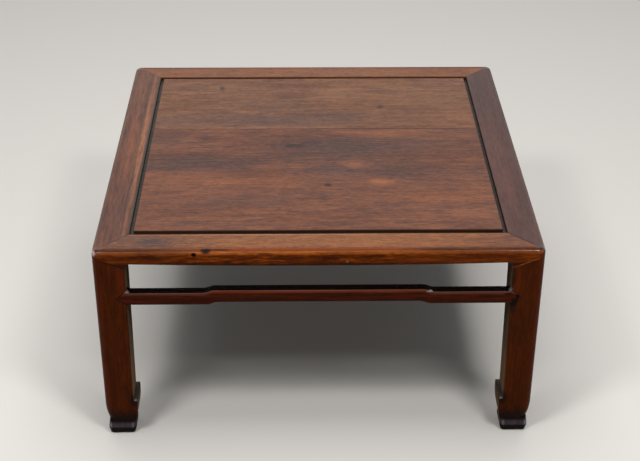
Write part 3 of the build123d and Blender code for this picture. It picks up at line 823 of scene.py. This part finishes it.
for index, name in enumerate(("left_batten", "right_batten")):
    woods[name] = wood(
        name.replace("_", " "),
        along="Y", offset=(0.0, 0.9 * index, 0.0), pith=(0.0, 0.0), ring=0.0040, rings=0.3,
        tones=batten_tones, polish=BARE,
    )

for name, material in woods.items():
    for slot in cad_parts[name].material_slots:
        slot.material = material


# ---------------------------------------------------------------------------------------------
# Floor, lights and camera
# ---------------------------------------------------------------------------------------------

FLOOR_REACH = 12.0
FLOOR_COLOUR = srgb(224, 220, 214)  # as it is seen
FLOOR_BOUNCE = srgb(138, 132, 124)  # and as it lights the table
AMBIENT_COLOUR = (0.94, 0.97, 1.0, 1.0)
LAMP_AIM = (0, 0, 0.2)
WALL_TOP, CEILING_START = 0.62, 0.85  # steepness of the directions where walls turn to ceiling
CEILING = 0.03  # its brightness in reflections

# The viewpoint, solved from the corners of the top and the feet in the photograph
CAMERA_PLACE = (-0.0322, -2.1147, 1.4329)
CAMERA_PAN = -1.13  # degrees, as are the tilt below the horizon and the roll
CAMERA_TILT = 30.6
CAMERA_ROLL = 0.3
CAMERA_LENS = 75.9  # millimetres, for a sensor of 36
CAMERA_SHIFT = (-0.0017, 0.0017)


def new_object(name, data):
    """An object of the scene, at the origin."""
    made = bpy.data.objects.new(name, data)
    bpy.context.scene.collection.objects.link(made)
    return made


def turn_about(axis, degrees):
    """A turn about an axis through the origin."""
    return Matrix.Rotation(math.radians(degrees), 4, axis)


def plain_floor():
    """A plain pale floor that throws less light on the table than its colour would."""
    mesh = bpy.data.meshes.new("floor")
    corners = [(-1, -1), (1, -1), (1, 1), (-1, 1)]
    places = [(x * FLOOR_REACH, y * FLOOR_REACH, 0) for x, y in corners]
    mesh.from_pydata(places, [], [(0, 1, 2, 3)])
    s = Shading("floor")
    shader = s.node("ShaderNodeBsdfDiffuse")
    s.put(shader.inputs["Color"], s.mix(s.backdrop_rays(), FLOOR_BOUNCE, FLOOR_COLOUR))
    out = s.node("ShaderNodeOutputMaterial")
    s.put(out.inputs["Surface"], shader.outputs["BSDF"])
    mesh.materials.append(s.material)
    new_object("floor", mesh)


def softbox(name, azimuth, elevation, distance, size, power, mirrored=True):
    """A square area light that looks at the table from an azimuth round from the front."""
    light = bpy.data.lights.new(name, "AREA")
    light.shape = "SQUARE"
    light.size = size
    light.energy = power
    lamp = new_object(name, light)
    lamp.visible_camera = False
    lamp.visible_glossy = mirrored
    turn = turn_about("Z", azimuth) @ turn_about("X", 90 - elevation)
    back = Matrix.Translation((0, 0, distance))
    lamp.matrix_world = Matrix.Translation(LAMP_AIM) @ turn @ back


def ambient_light(strength, walls):
    """Dim light from all round; the camera and polished wood see pale walls and a dark ceiling."""
    world = bpy.data.worlds.new("studio")
    bpy.context.scene.world = world
    w = Nodes(world)
    steepness = w.parts(w.node("ShaderNodeTexCoord").outputs["Generated"])[2]
    room = w.ease(steepness, WALL_TOP, CEILING_START, walls, CEILING, "LINEAR")
    background = w.node("ShaderNodeBackground")
    w.put(background.inputs["Color"], AMBIENT_COLOUR)
    level = w.ease(w.backdrop_rays(), 0.0, 1.0, strength, room, "LINEAR")
    w.put(background.inputs["Strength"], level)
    out = w.node("ShaderNodeOutputWorld")
    w.put(out.inputs["Surface"], background.outputs["Background"])


def photo_camera():
    """The photograph's viewpoint: a little left of the middle, looking down on the table."""
    camera_data = bpy.data.cameras.new("camera")
    camera_data.sensor_width = 36.0
    camera_data.lens = CAMERA_LENS
    camera_data.shift_x, camera_data.shift_y = CAMERA_SHIFT
    camera = new_object("camera", camera_data)
    aim = turn_about("Z", CAMERA_PAN) @ turn_about("X", 90 - CAMERA_TILT)
    camera.matrix_world = Matrix.Translation(CAMERA_PLACE) @ aim @ turn_about("Z", CAMERA_ROLL)
    bpy.context.scene.camera = camera


plain_floor()
softbox("left softbox", azimuth=-38, elevation=52, distance=2.8, size=0.5, power=22)
softbox("right softbox", azimuth=30, elevation=52, distance=2.8, size=0.5, power=22)
softbox(
    "overhead softbox", azimuth=180, elevation=84, distance=4.0, size=3.2, power=108, mirrored=False
)
ambient_light(strength=0.18, walls=0.65)
photo_camera()

bpy.context.scene.view_settings.view_transform = "Standard"
